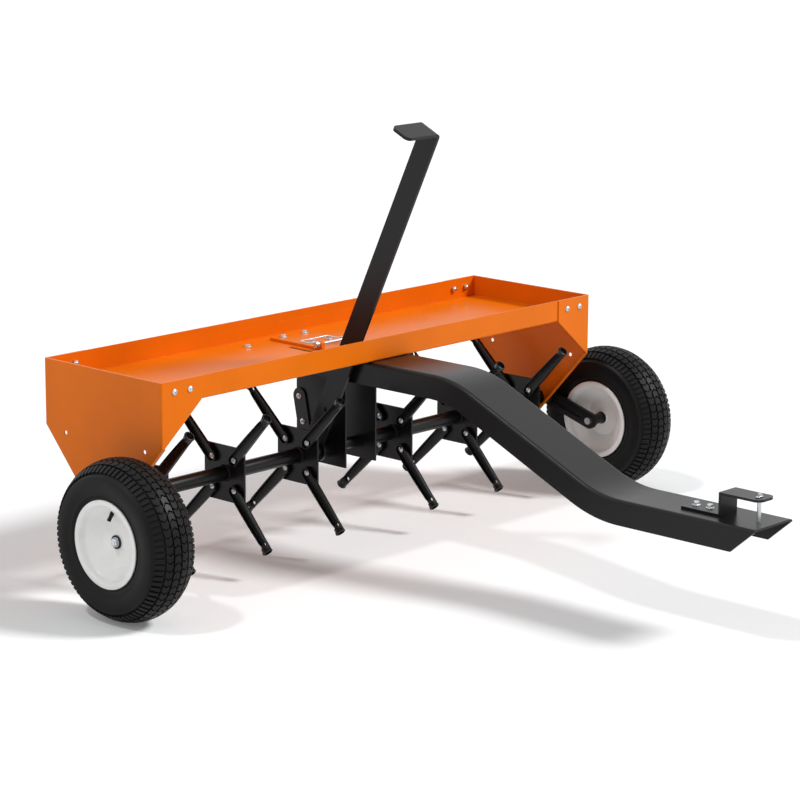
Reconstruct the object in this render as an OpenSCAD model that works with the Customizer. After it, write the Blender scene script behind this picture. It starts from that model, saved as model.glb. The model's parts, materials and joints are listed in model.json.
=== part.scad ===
// Tow-behind core aerator: a weight tray on two end plates, two gangs of coring
// tines that turn on a cross shaft, transport wheels on arms at the ends of that
// shaft, a lift handle that swings the arms, and a stepped-down channel tow bar.
// The origin is on the ground, at the middle of the whole machine's outline.
// -Y is the direction of tow, and +X is on the right for someone facing the
// machine from the front. The tines are shown raised, on the wheels.

/* [Tray and end plates] */
// Width across the outer faces of the end plates
tray_w = 1321; // [1240:1:1500]
// Length of the tray from its front wall to its rear wall
tray_l = 349; // [330:1:400]
// Height of the tray walls above the underside of the floor
tray_h = 48.5; // [44:0.5:80]
// Height of the tray's underside above the tine shaft
tray_rise = 212.8; // [211:0.2:230]
// Distance of the tray's middle behind the tine shaft
tray_setback = 33.5; // [28:0.5:40]
// Thickness of the tray and end plate sheet
sheet_t = 2.5; // [2:0.1:3]
// Width of the end plate flanges that lap the tray walls
flange_w = 108; // [100:1:130]
// Depth of the end plates below the tine shaft
end_drop = 35; // [30:1:45]
// Length of the end plates' straight bottom edge
end_foot = 64; // [56:1:90]
// Drop of the end plates' upright edges below the tray rim
end_edge = 135; // [120:1:150]
// Width of the lips folded in along the sloping edges
lip_w = 8; // [5:0.5:12]
// Distance between the two accessory holes of an end plate
side_hole_gap = 239; // [200:1:250]
// Diameter of the accessory holes
side_hole_d = 9; // [6:0.5:12]

/* [Tine gangs] */
// Distance from the shaft's axis to the tine mouths
tine_reach = 202; // [185:1:206]
// Distance between neighbouring tine wheels of one gang
tine_pitch = 215.6; // [195:0.2:217]
// Distance between the planes of the two innermost tine wheels
tine_gap = 294.6; // [290:0.2:310]
// Side of the square tine plates
plate_w = 120; // [116:1:126]
// Thickness of the tine plates
plate_t = 4; // [3:0.5:6]
// Spacing of the four tine bolts on the square plate
bolt_square = 65.2; // [64:0.2:68]
// Width of a tine's flat root
tine_w = 26; // [25:0.5:29]
// Thickness of a tine's flat root
tine_t = 4; // [3:0.5:5]
// Outer diameter of a tine's rolled mouth
mouth_d = 21.6; // [20:0.2:23]
// Wall of the rolled part of a tine
roll_t = 2.6; // [2.2:0.1:3]
// Length of the closed mouth at a tine's end
mouth_l = 12; // [8:1:16]
// Outer diameter of the gang tubes
gang_d = 32; // [31:0.5:36]
// Wall of the gang tubes
gang_t = 2; // [1.5:0.1:2.2]

/* [Wheels and lift] */
// Outer diameter of the tyres
tyre_d = 330; // [310:1:350]
// Width of the tyres
tyre_w = 116; // [108:1:120]
// Outer diameter of the rim flanges
rim_d = 179; // [170:1:186]
// Outer diameter of the wheel hub tubes
hub_d = 28; // [26:0.5:32]
// Diameter of the wheel axle bolts
axle_d = 10; // [8:0.5:12]
// Length of a wheel arm between its two axes
arm_l = 139; // [130:1:145]
// Fall of the wheel arms towards the wheels with the tines raised
arm_slope = 16.7; // [14:0.1:20]
// Width of the wheel arms
arm_w = 38; // [36:1:44]
// Thickness of the wheel arms
arm_t = 8; // [6:0.5:9]
// Length of the spacer between an arm and its wheel
spacer_l = 36; // [36:0.5:46]
// Outer diameter of that spacer
spacer_d = 24; // [20:0.5:28]
// Diameter of the lift shaft
shaft_d = 25.4; // [24:0.1:26]
// Distance of the lift handle's bar from the middle of the machine
handle_x = 78; // [77:0.5:80]
// Width of the handle's flat bar
handle_w = 50; // [46:1:52]
// Thickness of the handle's flat bar
handle_t = 7; // [5:0.5:8]
// Distance of the bar's centre line behind the shaft's axis
handle_off = 16; // [14:0.5:17]
// Length of the bar from the shaft to the top of its bend
handle_l = 798; // [650:1:880]
// Forward lean of the handle with the tines raised
handle_lean = 25.2; // [23:0.1:26]
// Length of the bent grip at the top
grip_l = 98; // [80:1:130]
// Swing of the handle back to the stop, which puts the tines to work
lift_swing = 37; // [34:0.5:38]

/* [Tow bar and hitch] */
// Width of the tow bar channel
bar_w = 127; // [122:1:134]
// Depth of the tow bar channel
bar_h = 52; // [46:1:58]
// Thickness of the tow bar channel
bar_t = 4.5; // [3.5:0.5:6]
// Reach of the tow bar in front of the tine shaft
bar_reach = 1146; // [1060:1:1300]
// Fall of the tow bar from the tray to the hitch
bar_fall = 176; // [140:1:190]
// Slope of the falling stretch
bar_slope = 24; // [22:0.5:28]
// Radius of both bends along the top of the tow bar
bar_bend = 250; // [200:5:280]
// Where the first bend starts, in front of the tine shaft
bar_straight = 318; // [250:1:330]
// Width of the stepped hitch bracket
hitch_w = 54; // [48:1:60]
// Thickness of the hitch bracket
hitch_t = 5; // [4:0.5:8]
// Height of the gap that takes the towing vehicle's drawbar
hitch_gap = 44; // [36:1:56]
// Diameter of the hitch pin
hitch_pin_d = 8; // [7:0.1:13]

/* [Lock and fasteners] */
// Diameter of the lock pin
lock_pin_d = 6.4; // [5.6:0.1:7]
// Thickness of the lock plate on the tray floor
lock_plate_t = 6; // [5:0.5:7]
// Diameter of the bolts
bolt_d = 8; // [6:0.5:9]

/* [Hidden] */
$fn = 48;

// Colours
orange = "#E8720C";
black = "#2B2B2B";
rubber = "#1A1A1A";
zinc = "#B9BCBE";
white = "#F2F2F0";

// Clearances
run_gap = 0.05;    // radial gap of a shaft in its bush
end_gap = 0.5;     // end play between turning pieces
cut = 1;           // overrun of a cut past a face

// Heights and the fore-and-aft place of the shaft
head_t = 4;                       // height of the button heads
wheel_r = tyre_d / 2;
arm_drop = arm_l * sin(arm_slope);
wheel_y = -arm_l * cos(arm_slope);
axle_z = wheel_r + arm_drop;
tray_front = tray_setback - tray_l / 2;
tray_rear = tray_setback + tray_l / 2;
axle_y = (bar_reach - tray_rear - sheet_t - head_t) / 2;

// Tray and end plates, heights measured up from the shaft's axis
half_w = tray_w / 2;
inner_w = half_w - sheet_t;
plate_front = tray_front - sheet_t;
plate_rear = tray_rear + sheet_t;
foot_front = tray_setback - end_foot / 2;
foot_rear = foot_front + end_foot;
bend_r = 4;
rim_up = tray_rise + tray_h;
edge_up = rim_up - end_edge;
side_hole_up = edge_up - 12;
side_hole_y = tray_setback - 6;
end_bolt_up = tray_rise + 26;
end_bolt_in = 35.5;
end_bolt_gap = 42;

// Bushes and lift parts, measured outwards from the middle
bush_t = 3;                       // flange of the shaft bushes
bush_in = 7;                      // how far an end plate's bush reaches inwards
bush_wall = 3.3;
bore_r = shaft_d / 2 + run_gap;
bush_r = bore_r + bush_wall;
bush_flange_r = bush_r + 4;
boss_r = shaft_d / 2 + 5.5;
boss_in = half_w + bush_t + end_gap;
arm_in = boss_in + 16;            // inner face of a wheel arm
arm_out = arm_in + arm_t;
cross_pin_x = (boss_in + arm_in) / 2;
cross_pin_r = 4;
axle_head_t = 6;
hub_in = 25;                      // from a wheel's middle to its hub's inner end
hub_out = 22;                     // from a wheel's middle to its hub's outer end
hub_flange = 2;
wheel_gap = 0.3;
wheel_x = arm_out + spacer_l + wheel_gap + hub_flange + hub_in;
washer_t = 1.5;
nut_t = 6;

// Gangs
tine_bolt_r = bolt_square / sqrt(2);
plate_face = 7;                   // from a tine wheel's plane to its plate
cup_h = 9;                        // height of a tine's edges round its bolt
hanger_w = 97;
hanger_t = 4;
hanger_front = -54;
hanger_rear = 94;
hanger_drop = 36;
thrust_t = 2;                     // flange of the gang bushes
gang_out = inner_w - bush_in - end_gap;
gang_in_left = handle_x + handle_t / 2 + 1;
gang_in_right = hanger_w / 2 + bush_t + end_gap;
function tine_x(i) = i < 4
    ? -tine_gap / 2 - (3 - i) * tine_pitch + plate_face
    : tine_gap / 2 + (i - 4) * tine_pitch + plate_face;

// Handle
hub_start = hanger_w / 2 + bush_t + end_gap;
hub_end = handle_x - handle_t / 2;
bar_front = handle_off - handle_w / 2;
grip_bend = 5;                    // inner radius of the bend at the top
parked_lean = handle_lean - lift_swing;

// Tow bar
bar_rear = tray_rear - 38;
bend_drop = bar_bend * (1 - cos(bar_slope));
bend_run = bar_bend * sin(bar_slope);
slope_l = (bar_fall - 2 * bend_drop) / sin(bar_slope);
flat_start = bar_straight + 2 * bend_run + slope_l * cos(bar_slope);
nose_cut = 55;
bar_fold = bar_t + 3;             // outer radius of the channel's folds
bend_swell = 0.05;                // how far the faces of a bend stand out
bend_lap = 0.3;                   // overlap of a bend with its neighbours, degrees
tip_up = tray_rise - bar_fall;

// Hitch bracket and pin, measured forward from the shaft
hitch_pin_y = bar_reach - 34;
riser_y = hitch_pin_y - 77;
hitch_foot_y = riser_y - 90;
hitch_bolt_y = [riser_y - 40, riser_y - 73];
step_up = tip_up + hitch_gap;
hitch_pin_top = step_up + hitch_t + 7;
clip_r = 1.25;

// Tray centre: bolts, lock plate, slot
tray_bolt_rows = [[33, 150], [26, 69], [26, -25]];
floor_up = tray_rise + sheet_t;
lock_w = 116;
lock_front = -40;
lock_rear = 166;
lock_up = floor_up + lock_plate_t;
lock_pin_r = lock_pin_d / 2;
pin_y = 14;
pin_up = lock_up + 7.8;
sleeve_r = 6;
sleeve_l = 10;
wire_r = 1.6;
wire_gap = 0.35;
coil_l = 10;
pin_head_r = 6.4;
pin_head_t = 3.5;
pin_head_x = -lock_w / 2 - 2 * wire_gap - coil_l;
ring_x = 9;
wire_back = 52;
slot_gap = 2;
slot_w = handle_t + 6;

// Strap on the left hanger plate
strap_w = 36;
strap_t = 4;
strap_x = hanger_w / 2;
strap_n = handle_off + handle_w / 2 + end_gap;
strap_bolts = [62, 118];
strap_foot = 16;
lug_h = 25;
lug_reach = 86;

// Distance behind the shaft at which the handle's line n crosses a height
function bar_y(up, n, lean) = (n - up * sin(lean)) / cos(lean);
slot_front = bar_y(floor_up, bar_front, handle_lean) - slot_gap;
slot_rear = bar_y(tray_rise, handle_off + handle_w / 2, parked_lean) + slot_gap;

// Wheel section, distances from the wheel's middle
bead_r = rim_d / 2 - 5.5;
rim_half = tyre_w / 2 - 4;
disc_r = 41;
disc_h = 21;
rim_t = 2.5;
tyre_shoulder = 30;
tyre_crown = 78;
valve_r = 64;                     // where the valve leaves the bowl of the rim
valve_out = 32;
valve_tilt = 56;                  // from the wheel's axis towards its middle
valve_turn = 2;

// Moves its children from the shaft's axis to their place in the machine
module at_axle() { translate([0, axle_y, axle_z]) children(); }

// Moves its children from the middle of the +X wheel to the shaft's frame
module at_wheel() { translate([wheel_x, wheel_y, -arm_drop]) children(); }

// Draws its children for the -X side, which mirrors the +X side
module left_side() { mirror([1, 0, 0]) children(); }

// Draws its children once on each side
module both_sides() {
    children();
    mirror([1, 0, 0]) children();
}

// Extrudes a side view, drawn as y and z, from x = from to x = to
module side_prism(from, to) {
    translate([from, 0, 0]) rotate([90, 0, 90]) linear_extrude(to - from) children();
}

// A round bar along X
module bar_x(r, from, to) {
    translate([from, 0, 0]) rotate([0, 90, 0]) cylinder(r = r, h = to - from);
}

// A tube along X
module tube_x(r_out, r_in, from, to) {
    difference() {
        bar_x(r_out, from, to);
        bar_x(r_in, from - cut, to + cut);
    }
}

// Rectangle with rounded corners, centred
module round_rect_2d(size_x, size_y, r) {
    square([size_x - 2 * r, size_y], center = true);
    square([size_x, size_y - 2 * r], center = true);
    for (sx = [-1, 1], sy = [-1, 1])
        translate([sx * (size_x / 2 - r), sy * (size_y / 2 - r)]) circle(r);
}

// Button head with its flat side at the origin, pointing along +Z
module button_head(d = bolt_d) {
    cylinder(r1 = d * 0.85, r2 = d * 0.8, h = head_t * 0.4);
    translate([0, 0, head_t * 0.4]) cylinder(r1 = d * 0.8, r2 = d * 0.5, h = head_t * 0.6);
}

// Button-headed bolt with a hexagon nut. The head's underside is at the origin,
// the bolt points along -Z, and grip is the thickness that it clamps.
module bolt(grip) {
    nut_h = bolt_d * 0.8;
    button_head();
    translate([0, 0, -grip - nut_h - 2]) cylinder(r = bolt_d / 2, h = grip + nut_h + 2);
    translate([0, 0, -grip - nut_h]) cylinder(r = bolt_d * 0.93, h = nut_h, $fn = 6);
}

// Plain bush along X, its body from 0 inwards to +X and its flange on the -X side
module flanged_bush(bush_bore, body_r, body_l, flange_r, flange_t) {
    difference() {
        union() {
            bar_x(body_r, 0, body_l);
            bar_x(flange_r, -flange_t, 0);
        }
        bar_x(bush_bore, -flange_t - cut, body_l + cut);
    }
}

// Places of the bolts through the middle of the tray
module at_tray_bolts(rows) {
    for (row = rows, side = [-1, 1])
        translate([side * tray_bolt_rows[row][0], tray_bolt_rows[row][1], 0]) children();
}

// Flange bolt places of the +X end plate, with the bolt heads outwards
module at_end_bolts() {
    for (k = [0, 1]) {
        x = half_w - end_bolt_in - k * end_bolt_gap;
        translate([x, plate_front, end_bolt_up]) rotate([90, 0, 0]) children();
        translate([x, plate_rear, end_bolt_up]) rotate([-90, 0, 0]) children();
    }
}

// Moves its children into the frame of the handle: z runs along the bar
module lean(angle) { rotate([angle, 0, 0]) children(); }

// weight tray and end plates

// Weight tray: a folded pan with four low walls and a slot for the handle
module weight_tray() {
    color(orange) at_axle() difference() {
        side_prism(-inner_w, inner_w) translate([tray_front, tray_rise]) {
            translate([0, bend_r]) square([tray_l, tray_h - bend_r]);
            translate([bend_r, 0]) square([tray_l - 2 * bend_r, tray_h]);
            translate([bend_r, bend_r]) circle(bend_r);
            translate([tray_l - bend_r, bend_r]) circle(bend_r);
        }
        translate([sheet_t - inner_w, tray_front + sheet_t, floor_up])
            cube([2 * (inner_w - sheet_t), tray_l - 2 * sheet_t, tray_h]);
        at_tray_bolts([0, 1, 2]) translate([0, 0, tray_rise - cut])
            cylinder(d = bolt_d, h = sheet_t + 2 * cut);
        both_sides() at_end_bolts() translate([0, 0, -3 * sheet_t])
            cylinder(d = bolt_d, h = 3 * sheet_t);
        translate([-handle_x, 0, tray_rise - cut]) linear_extrude(sheet_t + 2 * cut) {
            translate([-slot_w / 2, slot_front + slot_w / 2])
                square([slot_w, slot_rear - slot_front - slot_w]);
            translate([0, slot_front + slot_w / 2]) circle(d = slot_w);
            translate([0, slot_rear - slot_w / 2]) circle(d = slot_w);
        }
    }
}

// Side view of an end plate, as y and z from the shaft
module end_outline_2d() {
    polygon([
        [plate_front, rim_up], [plate_front, edge_up], [foot_front, -end_drop],
        [foot_rear, -end_drop], [plate_rear, edge_up], [plate_rear, rim_up]
    ]);
}

// Lip folded in along a sloping edge, from the flange's foot down to the bottom;
// side is -1 at the front and 1 at the rear
module slope_lip(side, top_y, foot_y) {
    run = [foot_y - top_y, -end_drop - edge_up];
    shift = -side * sheet_t * norm(run) / (edge_up + end_drop);
    side_prism(inner_w - lip_w, half_w - sheet_t / 2) polygon([
        [top_y, edge_up], [foot_y, -end_drop],
        [foot_y + shift, -end_drop], [top_y + shift, edge_up]
    ]);
}

// End plate of the +X side: a side panel with flanges folded round the tray walls
module end_plate() {
    flange_in = half_w - flange_w;
    depth = plate_rear - plate_front;
    difference() {
        union() {
            intersection() {
                translate([0, 0, -end_drop]) linear_extrude(rim_up + end_drop) difference() {
                    translate([flange_in, plate_front]) {
                        square([flange_w - bend_r, depth]);
                        translate([0, bend_r]) square([flange_w, depth - 2 * bend_r]);
                        for (y = [bend_r, depth - bend_r])
                            translate([flange_w - bend_r, y]) circle(bend_r);
                    }
                    translate([flange_in - cut, tray_front])
                        square([flange_w - sheet_t + cut, tray_l]);
                }
                side_prism(flange_in - cut, half_w + cut) end_outline_2d();
                translate([0, plate_rear + cut, 0]) rotate([90, 0, 0])
                    linear_extrude(depth + 2 * cut) polygon([
                        [flange_in, rim_up], [flange_in, tray_rise],
                        [inner_w - bend_r, edge_up], [inner_w - bend_r, -end_drop],
                        [half_w, -end_drop], [half_w, rim_up]
                    ]);
            }
            slope_lip(-1, plate_front, foot_front);
            slope_lip(1, plate_rear, foot_rear);
        }
        bar_x(bush_r, inner_w - cut, half_w + cut);
        for (s = [-1, 1])
            translate([0, side_hole_y + s * side_hole_gap / 2, side_hole_up])
                bar_x(side_hole_d / 2, inner_w - cut, half_w + cut);
        at_end_bolts() translate([0, 0, -2 * sheet_t])
            cylinder(d = bolt_d, h = 2 * sheet_t + cut);
    }
}
module end_plate_right() { color(orange) at_axle() end_plate(); }
module end_plate_left() { color(orange) at_axle() left_side() end_plate(); }

// Bolts that join the end plates to the tray walls
module end_plate_bolts_right() { color(zinc) at_axle() at_end_bolts() bolt(2 * sheet_t); }
module end_plate_bolts_left() {
    color(zinc) at_axle() left_side() at_end_bolts() bolt(2 * sheet_t);
}

// Bushes that carry the lift shaft in the end plates
module end_bushes() {
    color(black) at_axle() both_sides() translate([half_w, 0, 0]) mirror([1, 0, 0])
        flanged_bush(bore_r, bush_r, sheet_t + bush_in, bush_flange_r, bush_t);
}

// tow bar and hitch

// Block section with both upper corners rounded, as x and z from the bar's top
module folded_2d(half, top, low, r) {
    translate([-half, low]) square([2 * half, top - r - low]);
    translate([r - half, low]) square([2 * (half - r), top - low]);
    for (side = [-1, 1]) translate([side * (half - r), top - r]) circle(r);
}

// Channel section, open downwards; swell is what a bend adds to every face
module channel_2d(swell = 0) {
    difference() {
        folded_2d(bar_w / 2 + swell, swell, -bar_h - swell, bar_fold + swell);
        folded_2d(bar_w / 2 - bar_t - swell, -bar_t - swell, -bar_h - cut,
            bar_fold - bar_t - swell);
    }
}

// Straight stretch towards -Y, and the arc of a bend with its two ends lapped
module bar_run(length) { rotate([90, 0, 0]) linear_extrude(length) channel_2d(); }
module bar_arc(turn) {
    rotate(-bend_lap) rotate_extrude(angle = bar_slope + 2 * bend_lap)
        translate([bar_bend, 0]) rotate(turn) channel_2d(bend_swell);
}

// Tow bar: one inverted channel with two bends and a nose cut back underneath
module tow_bar() {
    color(black) at_axle() difference() {
        union() {
            translate([0, bar_rear, tray_rise]) bar_run(bar_rear + bar_straight);
            translate([0, -bar_straight, tray_rise - bar_bend]) rotate([0, -90, 180])
                bar_arc(-90);
            translate([0, -bar_straight - bend_run, tray_rise - bend_drop])
                rotate([bar_slope, 0, 0]) bar_run(slope_l);
            translate([0, -flat_start, tip_up + bar_bend]) rotate([0, 90, 180])
                mirror([0, 1, 0]) bar_arc(90);
            translate([0, -flat_start, tip_up]) bar_run(bar_reach - flat_start);
        }
        side_prism(-bar_w / 2 - cut, bar_w / 2 + cut) translate([-bar_reach, tip_up - bar_h])
            polygon([
                [-cut, -cut], [nose_cut, -cut], [0, bar_h - bar_t - cut],
                [-cut, bar_h - bar_t - cut]
            ]);
        at_tray_bolts([0, 1, 2]) translate([0, 0, tray_rise - bar_t - cut])
            cylinder(d = bolt_d, h = bar_t + 2 * cut);
        for (y = hitch_bolt_y) translate([0, -y, tip_up - bar_t - cut])
            cylinder(d = bolt_d, h = bar_t + 2 * cut);
        translate([0, -hitch_pin_y, tip_up - bar_t - cut])
            cylinder(r = hitch_pin_d / 2 + run_gap, h = bar_t + 2 * cut);
    }
}

// Stepped hitch bracket: a foot on the tow bar, a riser and a plate over the gap
module hitch_bracket() {
    color(black) at_axle() difference() {
        union() {
            side_prism(-hitch_w / 2, hitch_w / 2) {
                translate([-riser_y, tip_up]) square([riser_y - hitch_foot_y, hitch_t]);
                translate([-riser_y - hitch_t, tip_up]) square([hitch_t, hitch_gap + hitch_t]);
                translate([-hitch_pin_y, step_up]) square([hitch_pin_y - riser_y, hitch_t]);
            }
            translate([0, -hitch_pin_y, step_up]) linear_extrude(hitch_t) intersection() {
                circle(d = hitch_w * 1.2);
                translate([0, 6]) round_rect_2d(hitch_w, 52, 16);
            }
        }
        for (y = hitch_bolt_y) translate([0, -y, tip_up - cut])
            cylinder(d = bolt_d, h = hitch_t + 2 * cut);
        translate([0, -hitch_pin_y, step_up - cut])
            cylinder(r = hitch_pin_d / 2 + run_gap, h = hitch_t + 2 * cut);
    }
}
module hitch_bolts() {
    color(zinc) at_axle() for (y = hitch_bolt_y)
        translate([0, -y, tip_up + hitch_t]) bolt(hitch_t + bar_t);
}

// Hitch pin: a plain pin with a tapered end and a cross hole for its clip
module hitch_pin() {
    r = hitch_pin_d / 2;
    foot = tip_up - bar_t - 8;
    color(zinc) at_axle() translate([0, -hitch_pin_y, 0]) difference() {
        union() {
            translate([0, 0, foot + 2]) cylinder(r = r, h = hitch_pin_top - foot - 2);
            translate([0, 0, foot]) cylinder(r1 = r - 1.5, r2 = r, h = 2);
        }
        translate([0, 0, step_up + hitch_t + clip_r + 0.2]) bar_x(clip_r, -r - cut, r + cut);
    }
}

// Hairpin clip that keeps the pin from dropping through the bracket
module hitch_pin_clip() {
    leg_y = -hitch_pin_d / 2 - clip_r - 0.1;
    tail = 10;
    color(zinc) at_axle()
        translate([0, -hitch_pin_y, step_up + hitch_t + clip_r + 0.2]) {
            bar_x(clip_r, -tail, hitch_pin_d / 2 + 5);
            translate([-tail, leg_y / 2, 0]) rotate([0, 0, 90]) rotate_extrude(angle = 180)
                translate([-leg_y / 2, 0]) circle(clip_r, $fn = 24);
            translate([0, leg_y, 0]) bar_x(clip_r, -tail, hitch_pin_d / 2);
        }
}

// centre of the machine

// Hanger: a bracket inside the channel that carries the shaft between the gangs
module hanger() {
    top = tray_rise - bar_t;
    low = -hanger_drop;
    color(black) at_axle() difference() {
        translate([-hanger_w / 2, hanger_front, low])
            cube([hanger_w, hanger_rear - hanger_front, top - low]);
        translate([hanger_t - hanger_w / 2, hanger_front - cut, low - cut])
            cube([hanger_w - 2 * hanger_t, hanger_rear - hanger_front + 2 * cut,
                top - low - hanger_t + cut]);
        bar_x(bush_r, -hanger_w / 2 - cut, hanger_w / 2 + cut);
        at_tray_bolts([1, 2]) translate([0, 0, top - hanger_t - cut])
            cylinder(d = bolt_d, h = hanger_t + 2 * cut);
        lean(parked_lean) for (s = strap_bolts) translate([0, strap_n + strap_w / 2, s])
            bar_x(bolt_d / 2, -hanger_w / 2 - cut, cut - hanger_w / 2 + hanger_t);
    }
}
module hanger_bushes() {
    color(rubber) at_axle() both_sides() translate([hanger_w / 2, 0, 0]) mirror([1, 0, 0])
        flanged_bush(bore_r, bush_r, hanger_t + 1, bush_flange_r, bush_t);
}

// Stop strap: its turned-out lug meets the handle's rear edge with the tines down
module stop_strap() {
    color(black) at_axle() lean(parked_lean) difference() {
        union() {
            side_prism(-strap_x - strap_t, -strap_x) {
                translate([strap_n, strap_foot])
                    square([strap_w, strap_bolts[1] - strap_foot]);
                translate([strap_n + strap_w / 2, strap_bolts[1]]) circle(d = strap_w);
            }
            translate([-lug_reach, strap_n, strap_foot])
                cube([lug_reach - strap_x, strap_t, lug_h]);
        }
        for (s = strap_bolts) translate([0, strap_n + strap_w / 2, s])
            bar_x(bolt_d / 2, -strap_x - strap_t - cut, cut - strap_x);
    }
}
module stop_strap_bolts() {
    color(zinc) at_axle() lean(parked_lean) for (s = strap_bolts)
        translate([-strap_x - strap_t, strap_n + strap_w / 2, s]) rotate([0, -90, 0])
            bolt(strap_t + hanger_t);
}

// Lock plate: stiffens the tray over the tow bar and guides the lock pin
module lock_plate() {
    color(orange) at_axle() difference() {
        union() {
            translate([-lock_w / 2, lock_front, floor_up])
                cube([lock_w, lock_rear - lock_front, lock_plate_t]);
            translate([-lock_w / 2, pin_y - sleeve_r, lock_up - cut])
                cube([sleeve_l, 2 * sleeve_r, pin_up - lock_up + cut]);
            translate([0, pin_y, pin_up]) bar_x(sleeve_r, -lock_w / 2, sleeve_l - lock_w / 2);
        }
        translate([0, pin_y, pin_up])
            bar_x(lock_pin_r + run_gap, -lock_w / 2 - cut, sleeve_l - lock_w / 2 + cut);
        at_tray_bolts([0, 1, 2]) translate([0, 0, floor_up - cut])
            cylinder(d = bolt_d, h = lock_plate_t + 2 * cut);
    }
}

// Bolts that clamp the lock plate, tray, tow bar and hanger together
module tray_bolts() {
    color(zinc) at_axle() {
        at_tray_bolts([0]) translate([0, 0, lock_up]) bolt(lock_plate_t + sheet_t + bar_t);
        at_tray_bolts([1, 2]) translate([0, 0, lock_up])
            bolt(lock_plate_t + sheet_t + bar_t + hanger_t);
    }
}

// Lock pin: slides across the handle's slot
module lock_pin() {
    color(zinc) at_axle() translate([0, pin_y, pin_up]) {
        bar_x(lock_pin_r, pin_head_x, ring_x + coil_l + 2);
        bar_x(pin_head_r, pin_head_x - pin_head_t, pin_head_x);
    }
}

// Wire bail that turns on the lock pin, with an eye at each end
module lock_wire() {
    eye_r = lock_pin_r + 2 * wire_r;
    leg_in = lock_pin_r + wire_r;
    left = pin_head_x + wire_gap + coil_l / 2;
    right = ring_x + coil_l / 2;
    color(zinc) at_axle() translate([0, pin_y, pin_up]) {
        tube_x(eye_r, lock_pin_r + run_gap, left - coil_l / 2, left + coil_l / 2);
        tube_x(eye_r, lock_pin_r + run_gap, ring_x, ring_x + coil_l);
        for (x = [left, right]) {
            translate([x, leg_in, 0]) rotate([-90, 0, 0])
                cylinder(r = wire_r, h = wire_back - leg_in);
            translate([x, wire_back, 0]) sphere(wire_r, $fn = 24);
        }
        translate([0, wire_back, 0]) bar_x(wire_r, left, right);
    }
}

// lift: shaft, handle, arms and axle bolts

// Lift shaft: one bar right across, cross-drilled for the handle and the arms
module lift_shaft() {
    color(black) at_axle() difference() {
        bar_x(shaft_d / 2, -arm_out, arm_out);
        for (x = [-cross_pin_x, -(hub_start + hub_end) / 2, cross_pin_x])
            translate([x, 0, -boss_r]) cylinder(r = cross_pin_r, h = 2 * boss_r);
    }
}

// Lift handle: a flat bar with an eye on the shaft and a grip bent over its top
module lift_handle() {
    eye_r = handle_w / 2 - 2;
    fold_r = grip_bend + handle_t;
    grip_end = hub_end + grip_l;
    corner = 12;
    color(black) at_axle() lean(handle_lean) difference() {
        union() {
            side_prism(-hub_end - handle_t, -hub_end) {
                translate([bar_front, 0]) square([handle_w, handle_l - fold_r]);
                translate([handle_off, 0]) circle(d = handle_w);
                circle(eye_r);
            }
            translate([-hub_end - fold_r, bar_front + handle_w, handle_l - fold_r])
                rotate([90, 0, 0]) rotate_extrude(angle = 90)
                    translate([grip_bend, 0]) square([handle_t, handle_w]);
            translate([0, bar_front, handle_l - handle_t]) linear_extrude(handle_t) {
                translate([corner - grip_end, 0])
                    square([grip_l - corner - fold_r, handle_w]);
                translate([-grip_end, corner]) square([corner, handle_w - 2 * corner]);
                for (y = [corner, handle_w - corner])
                    translate([corner - grip_end, y]) circle(corner);
            }
        }
        bar_x(shaft_d / 2, -hub_end - handle_t - cut, cut - hub_end);
        translate([0, handle_off, 98]) bar_x(5, -hub_end - handle_t - cut, cut - hub_end);
    }
}

// Hub ring that holds the handle on the shaft
module handle_hub() {
    color(black) at_axle() difference() {
        tube_x(boss_r + 1, shaft_d / 2, -hub_end, -hub_start);
        translate([-(hub_start + hub_end) / 2, 0, -boss_r - 2])
            cylinder(r = cross_pin_r, h = 2 * boss_r + 4);
    }
}
module handle_pin() {
    color(zinc) at_axle() translate([-(hub_start + hub_end) / 2, 0, -boss_r - 2])
        cylinder(r = cross_pin_r, h = 2 * boss_r + 4);
}

// Wheel arm of the +X side: a flat link with a boss on the lift shaft
module wheel_arm() {
    groove_w = 12;
    groove_t = 2.5;
    groove_start = boss_r + 7;
    groove_end = arm_l - arm_w / 2 - 10;
    difference() {
        union() {
            side_prism(arm_in, arm_out) rotate(180 + arm_slope) {
                circle(d = arm_w);
                translate([0, -arm_w / 2]) square([arm_l, arm_w]);
                translate([arm_l, 0]) circle(d = arm_w);
            }
            bar_x(boss_r, boss_in, arm_in + cut);
        }
        bar_x(shaft_d / 2, boss_in - cut, arm_out + cut);
        translate([0, wheel_y, -arm_drop]) bar_x(axle_d / 2, arm_in - cut, arm_out + cut);
        translate([cross_pin_x, 0, -boss_r - cut])
            cylinder(r = cross_pin_r, h = 2 * boss_r + 2 * cut);
        side_prism(arm_in - cut, arm_in + groove_t) rotate(180 + arm_slope) {
            translate([groove_start, -groove_w / 2])
                square([groove_end - groove_start, groove_w]);
            for (x = [groove_start, groove_end]) translate([x, 0]) circle(d = groove_w);
        }
    }
}
module wheel_arm_right() { color(black) at_axle() wheel_arm(); }
module wheel_arm_left() { color(black) at_axle() left_side() wheel_arm(); }
module arm_pins() {
    color(zinc) at_axle() both_sides() translate([cross_pin_x, 0, -boss_r - 1])
        cylinder(r = cross_pin_r, h = 2 * boss_r + 2);
}

// Axle bolt, spacer and nut of the +X wheel, drawn from the wheel's middle
module axle_bolt() {
    inner = arm_in - wheel_x;
    nut_end = hub_out + hub_flange + wheel_gap + washer_t + nut_t;
    at_wheel() {
        bar_x(axle_d * 0.8, inner - axle_head_t, inner);
        bar_x(axle_d / 2, inner, nut_end + 1);
    }
}
module axle_bolt_right() { color(zinc) at_axle() axle_bolt(); }
module axle_bolt_left() { color(zinc) at_axle() left_side() axle_bolt(); }

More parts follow.
